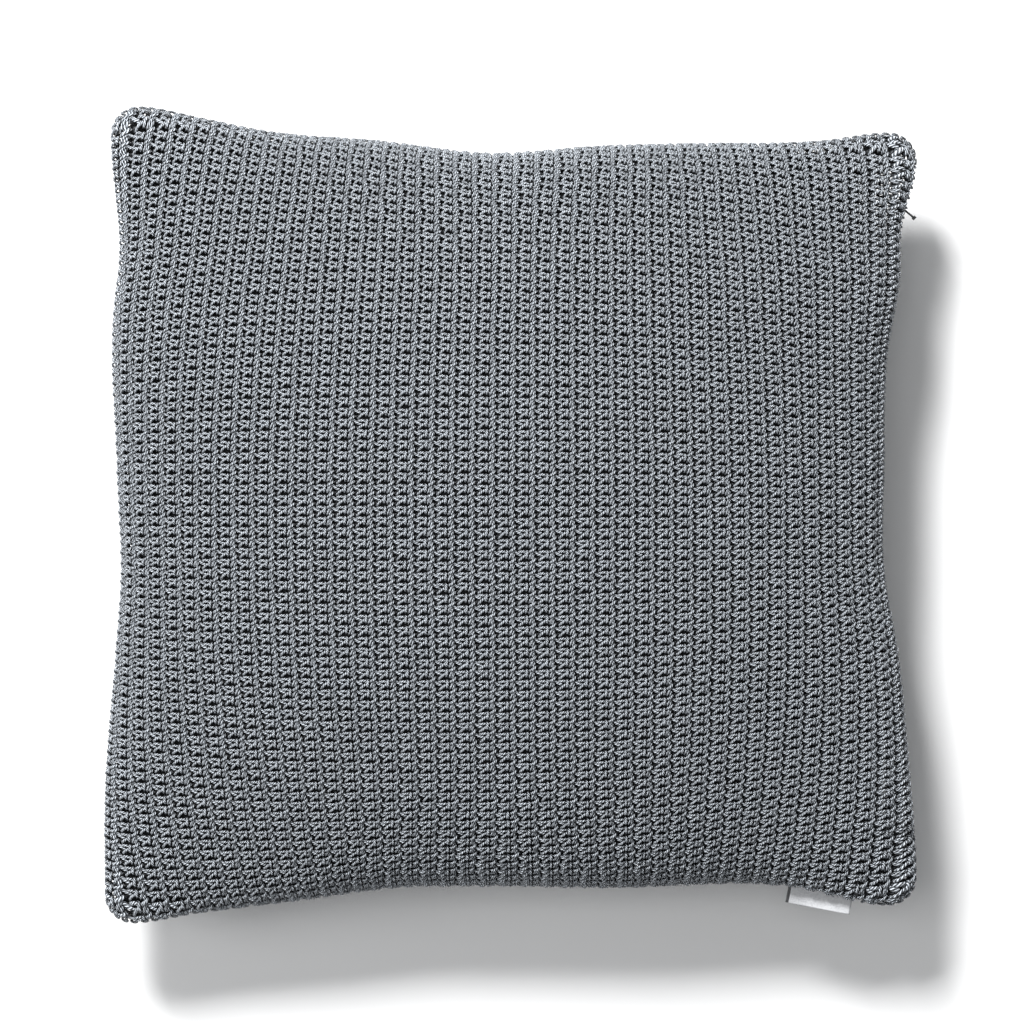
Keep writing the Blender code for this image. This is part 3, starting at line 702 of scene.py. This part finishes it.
def satin_material(name, dark, light):
    """Satin ribbon with fine ribs across it and a dark stripe along its left end."""
    n = Nodes(name)
    direction = (math.cos(LABEL_TILT), math.sin(LABEL_TILT), 0.0)
    along = n.add("ShaderNodeVectorMath", operation="DOT_PRODUCT")
    n.set(along.inputs[0], n.position())
    along.inputs[1].default_value = direction
    root = (LABEL_ROOT[0] * direction[0] + LABEL_ROOT[1] * direction[1]) * MM
    place = n.math("SUBTRACT", along.outputs["Value"], root)
    edge = n.math("GREATER_THAN", place, (-LABEL_WIDTH / 2 + LABEL_EDGE) * MM)
    ribs = n.math("ABSOLUTE", n.math("SINE", n.math("MULTIPLY", place, 9000.0)))
    tone = n.math("ADD", n.math("MULTIPLY", ribs, 0.25), n.noise(n.position(), 900.0))
    tone = n.math("MULTIPLY", tone, edge)
    colour = n.ramp(tone, [(0.0, (0.05, 0.052, 0.055)), (0.2, dark), (0.8, light)])
    return n.finish(colour, n.bump(ribs, 0.00005), 0.38, sheen_weight=0.3)


def plain_material(name, dark, light, roughness, metallic=0.0):
    """A nearly even colour with slight mottling."""
    n = Nodes(name)
    mottle = n.noise(n.position(), 700.0, 3.0)
    n.shader.inputs["Metallic"].default_value = metallic
    return n.finish(n.ramp(mottle, [(0.3, dark), (0.7, light)]), n.bump(mottle, 0.00002), roughness)


# --- Camera, floor and light ---


def set_the_stage():
    camera = bpy.data.cameras.new("camera")
    camera.lens = 120.0
    camera.sensor_width = 36.0
    frame_height = 633.2
    distance = frame_height / camera.sensor_width * camera.lens
    camera.clip_end = 100.0
    item = bpy.data.objects.new("camera", camera)
    item.location = Vector((0.74, 0.5, SEAM_Z + distance)) * MM
    bpy.context.scene.collection.objects.link(item)
    bpy.context.scene.camera = item

    floor = new_mesh(
        "floor", np.array([[-4000, -4000, 0], [4000, -4000, 0], [4000, 4000, 0], [-4000, 4000, 0]]),
        np.array([[0, 1, 2, 3]]),
    )
    n = Nodes("floor")
    tone = n.noise(n.position(), 3.0)
    colour = n.ramp(tone, [(0.3, (0.93, 0.93, 0.93)), (0.7, (0.95, 0.95, 0.95))])
    floor.data.materials.append(n.finish(colour, n.bump(n.noise(n.position(), 400.0), 0.00005), 0.7))

    for name, place, size, power in [
        ("key", (-720, 1640, 1830), 700, 119.0),
        ("side", (-1500, -100, 1500), 900, 11.0),
        ("fill", (0, 50, 2300), 900, 6.0),
    ]:
        light = bpy.data.lights.new(name, "AREA")
        light.size = size * MM
        light.energy = power
        lamp = bpy.data.objects.new(name, light)
        lamp.location = Vector(place) * MM
        aim = Vector((0, 0, SEAM_Z)) - Vector(place)
        lamp.rotation_euler = aim.to_track_quat("-Z", "Y").to_euler()
        bpy.context.scene.collection.objects.link(lamp)

    world = bpy.data.worlds.new("studio")
    world.use_nodes = True
    background = world.node_tree.nodes["Background"]
    background.inputs["Color"].default_value = (0.96, 0.98, 1.0, 1.0)
    background.inputs["Strength"].default_value = 0.23
    bpy.context.scene.world = world
    bpy.context.scene.view_settings.view_transform = "Standard"


# --- Making it ---


def cord_tube(name, points, radius, sides, material, nodes):
    """A tube of cord along points, with turns and distance as UV, as the crochet has."""
    along = np.gradient(points, axis=0)
    along /= np.linalg.norm(along, axis=1, keepdims=True)
    side = np.cross(along[0], (0.3, 0.2, 0.9))
    angles = np.arange(sides)[:, None] / sides * 2 * math.pi
    rings = []
    for centre, t in zip(points, along):
        side = side - side.dot(t) * t
        side /= np.linalg.norm(side)
        rings.append(centre + radius * (np.cos(angles) * side + np.sin(angles) * np.cross(t, side)))
    quads, caps = tube_faces(len(points), sides)
    item = new_mesh(name, np.concatenate(rings), quads, caps)
    distance = np.concatenate([[0.0], np.cumsum(np.linalg.norm(np.diff(points, axis=0), axis=1))])
    add_uv(item, "cord", tube_uv(distance, sides))
    # Painted shade at one fixed level, which darkens the joining yarn's colour all along
    add_painted_light_level(item, np.full(len(item.data.vertices), 0.55))
    return finish_piece(item, material, nodes)


def make_cover(paths, cord):
    faces = [
        ("front", 1, 32, 5, 4),
        ("back", -1, 20, 5, 6),
    ]
    for side, face, rings, sides, pairs_each in faces:
        place = cushion_face(face)
        made = [stitch_tube(p, d, rings, sides, CORD_RADIUS) for p, d in zip(paths, PERIODS)]
        tubes = [m[0] for m in made]
        lengths = [m[1] for m in made]
        uneven = Unevenness(ROW_PAIRS, STITCHES, seed=11 + face)
        for k, first in enumerate(range(0, ROW_PAIRS, pairs_each)):
            crochet(
                f"crochet_{side}_{k + 1:02d}", place, first, min(pairs_each, ROW_PAIRS - first),
                STITCHES, tubes, lengths, uneven, cord, [f"cover_{side}_panel"],
            )


def outline():
    """The outline in plan, anticlockwise from the lower left corner, with its outward normals."""
    t = np.linspace(-1, 1, 801)[:-1]
    one = np.ones_like(t)
    sides = [(t, -one), (one, t), (-t, one), (-one, -t)]
    points = np.concatenate([np.stack(flat_position(u, v), axis=-1) for u, v in sides])
    points = np.concatenate([points, points[:1]])
    s = np.concatenate([[0.0], np.cumsum(np.linalg.norm(np.diff(points, axis=0), axis=1))])
    even = np.arange(0.0, s[-1], OUTLINE_STEP)
    points = np.stack([np.interp(even, s, points[:, k]) for k in (0, 1)], axis=1)
    along = np.roll(points, -1, axis=0) - np.roll(points, 1, axis=0)
    along /= np.linalg.norm(along, axis=1, keepdims=True)
    return points, np.stack([along[:, 1], -along[:, 0]], axis=1)


def make_joining_yarns(cord):
    """The yarn that joins the two panels, in loops over both their edges."""
    points, outward = outline()

    def nearest(target):
        return int(np.argmin(((points - target) ** 2).sum(axis=1)))

    past_zip = JOINING_STARTS_PAST["zip"]
    past_label = JOINING_STARTS_PAST["label"]
    beside_pad = PAD_STOPS_AT + 10
    above_zip = nearest((beside_pad, SLOT_TOP + past_zip))
    below_zip = nearest((beside_pad, SLOT_BOTTOM - past_zip))
    left_of_label = nearest((LABEL_SLOT[0] - past_label, LABEL_ROOT[1]))
    right_of_label = nearest((LABEL_SLOT[1] + past_label, LABEL_ROOT[1]))
    source = np.random.default_rng(5)
    for name, start, end in [
        ("joining_yarn_long", above_zip, left_of_label + len(points)),
        ("joining_yarn_short", right_of_label, below_zip),
    ]:
        index = np.arange(start, end, 2) % len(points)
        distance = np.arange(len(index)) * (2 * OUTLINE_STEP)
        loops = int(distance[-1] / JOINING_PITCH) + 2
        loose = source.normal(0, 0.5, loops + 1)
        wobble = np.interp(distance / JOINING_PITCH, np.arange(loops + 1), loose)
        turn = distance / JOINING_PITCH * 2 * math.pi + 0.6 * wobble
        out = -JOINING_INSET + JOINING_REACH[0] * np.cos(turn)
        lean = JOINING_LEAN * np.sin(2 * turn)
        plan = points[index] + out[:, None] * outward[index]
        plan += lean[:, None] * np.stack([-outward[index][:, 1], outward[index][:, 0]], axis=1)
        z = SEAM_Z + JOINING_REACH[1] * np.sin(turn)
        path = np.column_stack([plan, z])
        cord_tube(name, path, CORD_RADIUS, 6, cord, [name])


def layer_grid(
    face, depth, extra=0.0, in_corners=True, steps=60, across=(-90.0, 90.0), up=(-90.0, 90.0)
):
    """Points of a layer inside the cover, at that depth under the crown, between two angles each
    way. It lies farther in beside the zip, and extra is how much farther in it lies all round. Only
    cloth reaches into the corners at the zip's ends."""
    places = [np.radians(np.linspace(*ends, steps + 1)) for ends in (across, up)]
    alpha, beta = np.meshgrid(*places, indexing="ij")
    u = np.sin(alpha)
    v = np.sin(beta)
    x, y = flat_position(u, v)
    drawn_in = np.maximum(right_side(v)[1] - PAD_STOPS_AT, 0.0)
    beside_zip = window(y, SLOT_BOTTOM, SLOT_TOP, SLOT_FADE) if in_corners else 1.0
    zip_side = smooth_step(0.0, 1.0, u) * beside_zip
    inset = CASE_INSET + extra + zip_side * (CASE_ZIP_INSET - CASE_INSET + drawn_in)
    crown = (FRONT_CROWN if face > 0 else BACK_CROWN) - depth
    z = SEAM_Z + face * (CASE_SEAM_RISE + (crown - CASE_SEAM_RISE) * np.cos(alpha) * np.cos(beta))
    if face < 0:
        z = resting(z, depth)
    return np.stack([x - inset * u, y - (CASE_INSET + extra) * v, z], axis=-1)


def grid_faces(rows, columns, start=0, turn=False):
    numbers = np.arange(rows * columns).reshape(rows, columns) + start
    quads = np.stack([numbers[:-1, :-1], numbers[1:, :-1], numbers[1:, 1:], numbers[:-1, 1:]], axis=-1)
    quads = quads.reshape(-1, 4)
    return quads[:, ::-1] if turn else quads


def shell(name, upper, lower):
    """A closed sheet between two grids of points."""
    rows, columns = upper.shape[:2]
    count = rows * columns
    numbers = np.arange(count).reshape(rows, columns)
    rim = np.concatenate([numbers[:-1, 0], numbers[-1, :-1], numbers[:0:-1, -1], numbers[0, :0:-1]])
    after = np.roll(rim, -1)
    walls = np.stack([rim, rim + count, after + count, after], axis=-1)
    quads = np.concatenate(
        [grid_faces(rows, columns), grid_faces(rows, columns, count, turn=True), walls]
    )
    return new_mesh(name, np.concatenate([upper.reshape(-1, 3), lower.reshape(-1, 3)]), quads)


def make_pad():
    cloth = cloth_material("black_case_cloth", (0.008, 0.009, 0.010), (0.022, 0.024, 0.026))
    for side, face in (("front", 1), ("back", -1)):
        outer = layer_grid(face, CASE_DEPTH)
        inner = layer_grid(face, CASE_DEPTH + CASE_THICKNESS, CASE_THICKNESS)
        grids = (outer, inner) if face > 0 else (inner, outer)
        case = shell(f"case_{side}", *grids)
        finish_piece(case, cloth, [f"inner_case_{side}"])
    fibre = fibre_material("white_fibre", (0.70, 0.70, 0.69), (0.86, 0.86, 0.85))
    extra = FILL_DEPTH - CASE_DEPTH
    wadding = shell(
        "fibre_wadding",
        layer_grid(1, FILL_DEPTH, extra, in_corners=False),
        layer_grid(-1, FILL_DEPTH, extra, in_corners=False),
    )
    finish_piece(wadding, fibre, ["fibre_fill"])


def make_labels():
    woven = satin_material("silver_satin", (0.42, 0.43, 0.45), (0.66, 0.67, 0.69))
    gap = LABEL_HALF_GAP
    bend = LABEL_SHOWS - gap
    turn = np.linspace(math.pi / 2, -math.pi / 2, 13)
    legs = np.linspace(-LABEL_INSIDE, bend, 14)[:-1]
    out = np.concatenate([legs, bend + gap * np.cos(turn), legs[::-1]])
    up = np.concatenate([np.full(13, gap), gap * np.sin(turn), np.full(13, -gap)])
    normal_out = np.concatenate([np.zeros(13), np.cos(turn), np.zeros(13)])
    normal_up = np.concatenate([np.ones(13), np.sin(turn), -np.ones(13)])
    across = np.linspace(-LABEL_WIDTH / 2, LABEL_WIDTH / 2, 33)
    grids = []
    for offset in (LABEL_HALF_THICKNESS, -LABEL_HALF_THICKNESS):
        x, d = np.meshgrid(across, out + offset * normal_out, indexing="ij")
        z = np.broadcast_to(up + offset * normal_up, x.shape)
        past = np.clip(d / LABEL_SHOWS, 0.0, 1.0)
        z = z + 0.7 * past**2 * np.sin(x * 0.13 + 0.6)
        c, s = math.cos(LABEL_TILT), math.sin(LABEL_TILT)
        plan = (LABEL_ROOT[0] + c * x + s * d, LABEL_ROOT[1] + s * x - c * d)
        grids.append(np.stack([*plan, SEAM_Z + z], axis=-1))
    label = shell("folded_label", grids[1], grids[0])
    finish_piece(label, woven, ["woven_label"])

    plain = cloth_material("grey_satin", (0.06, 0.062, 0.066), (0.12, 0.123, 0.13), 4.0, 0.5)
    where = {"steps": 24, "across": (8.0, 22.0), "up": (-88.0, -52.0)}
    under = CARE_LABEL_DEPTH - CARE_LABEL_THICKNESS
    upper = layer_grid(-1, CARE_LABEL_DEPTH, -CARE_LABEL_OUTSET, **where)
    lower = layer_grid(-1, under, -CARE_LABEL_OUTSET - CARE_LABEL_THICKNESS, **where)
    care = shell("care_label_sheet", upper, lower)
    finish_piece(care, plain, ["care_label"])


def make_zip():
    """The two coils, wound as real ones are; the other zip parts keep their CAD shapes."""
    nylon = plain_material("black_nylon", (0.012, 0.013, 0.014), (0.03, 0.032, 0.034), 0.35)
    wire = COIL_WIRE_RADIUS
    for side, face in (("front", 1), ("back", -1)):
        y = np.arange(COIL_BOTTOM + wire, COIL_TOP - wire, COIL_PITCH / 10)
        turn = y / COIL_PITCH * 2 * math.pi * face
        reach = COIL_RADIUS - wire - 0.03
        z = COIL_Z + (COIL_APART_Z - COIL_Z) * np.clip(
            (y - COIL_PARTS_AT) / (COIL_APART_AT - COIL_PARTS_AT), 0.0, 1.0
        )
        path = np.column_stack(
            [COIL_X + reach * np.cos(turn), y, SEAM_Z + face * z + reach * np.sin(turn)]
        )
        cord_tube(f"coil_{side}", path, wire, 5, nylon, [f"zip_coil_{side}"])
    enamel = plain_material("black_enamel", (0.014, 0.015, 0.016), (0.03, 0.032, 0.034), 0.3, 0.5)
    tape = cloth_material("zip_tape_cloth", (0.02, 0.021, 0.022), (0.06, 0.062, 0.064), 3.0)
    thread = plain_material("grey_thread", (0.07, 0.073, 0.076), (0.12, 0.124, 0.128), 0.6)
    keeps = {
        "zip_enamel": (enamel, ["zip_slider", "zip_pull_tab"]),
        "zip_nylon": (nylon, ["zip_top_stop_front", "zip_top_stop_back", "zip_bottom_stop"]),
        "zip_tape": (tape, ["zip_tape_front", "zip_tape_back"]),
        "sewing_thread": (
            thread, ["zip_stitching_front", "zip_stitching_back", "label_stitching", "inner_case_seam"],
        ),
    }
    for material, names in keeps.values():
        for name in names:
            for slot in bpy.data.objects[name].material_slots:
                slot.material = material


set_the_stage()
# The cord's own grey is the middle colour; the near-black one is for painted shade and the pale
# blue-white one for painted highlights
grey = cord_material("grey_cord", (0.012, 0.014, 0.017), (0.215, 0.238, 0.268), (0.84, 0.90, 0.97))
make_cover(settle_stitches(), grey)
make_joining_yarns(grey)
make_pad()
make_labels()
make_zip()
